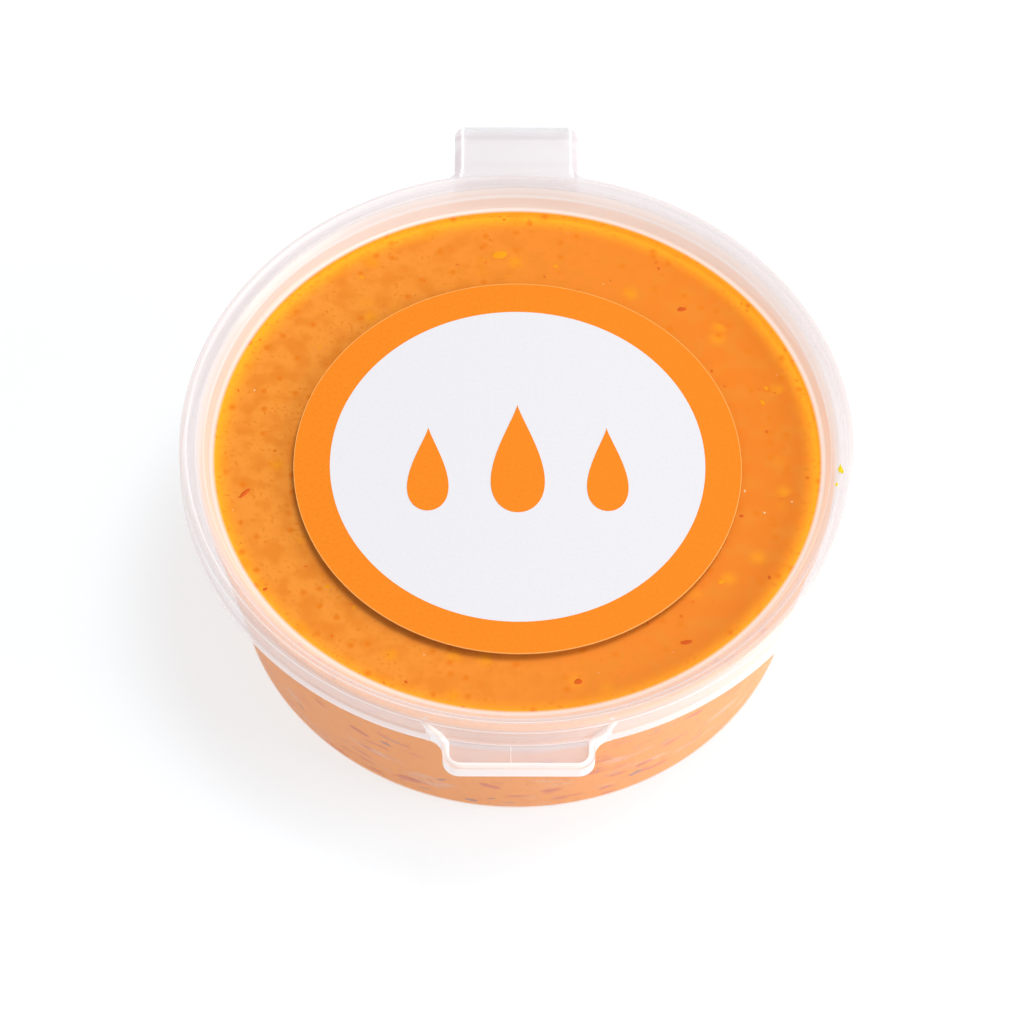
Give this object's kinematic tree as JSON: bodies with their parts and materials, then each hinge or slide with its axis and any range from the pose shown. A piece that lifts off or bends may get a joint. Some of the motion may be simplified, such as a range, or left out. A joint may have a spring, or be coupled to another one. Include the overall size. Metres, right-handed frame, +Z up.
{
  "type": "hinged-lid sauce pot",
  "caption": "Shallow round translucent plastic portion pot with hinged press-shut lid, front lift tab and round paper label, filled to the lid with orange chili sauce.",
  "frame": {"origin": "centre of the base's underside, on the surface that the pot stands on", "axes": "+Z up; -Y towards the lift tab; +Y towards the folded hinge strap"},
  "size_m": [0.0754, 0.0866, 0.0278],
  "materials": {
    "cup_plastic": "milky translucent polypropylene, satin",
    "lid_plastic": "milky translucent polypropylene, satin gloss",
    "sauce": "wet opaque orange sauce with red, dark orange and yellow flecks",
    "label_paper": "matt printed paper, orange ring round a white middle"
  },
  "bodies": {
    "cup": {"cup": "cup_plastic", "sauce": "sauce", "hinge_fold": "lid_plastic"},
    "lid": {"lid": "lid_plastic", "label": "label_paper"}
  },
  "joints": [
    {"name": "lid_hinge", "type": "hinge", "parent": "cup", "child": "lid", "pos_m": [0, 0.0455, 0.0249], "axis": [-1, 0, 0], "range_deg": [0, 175], "deforming": ["hinge_fold"]}
  ]
}
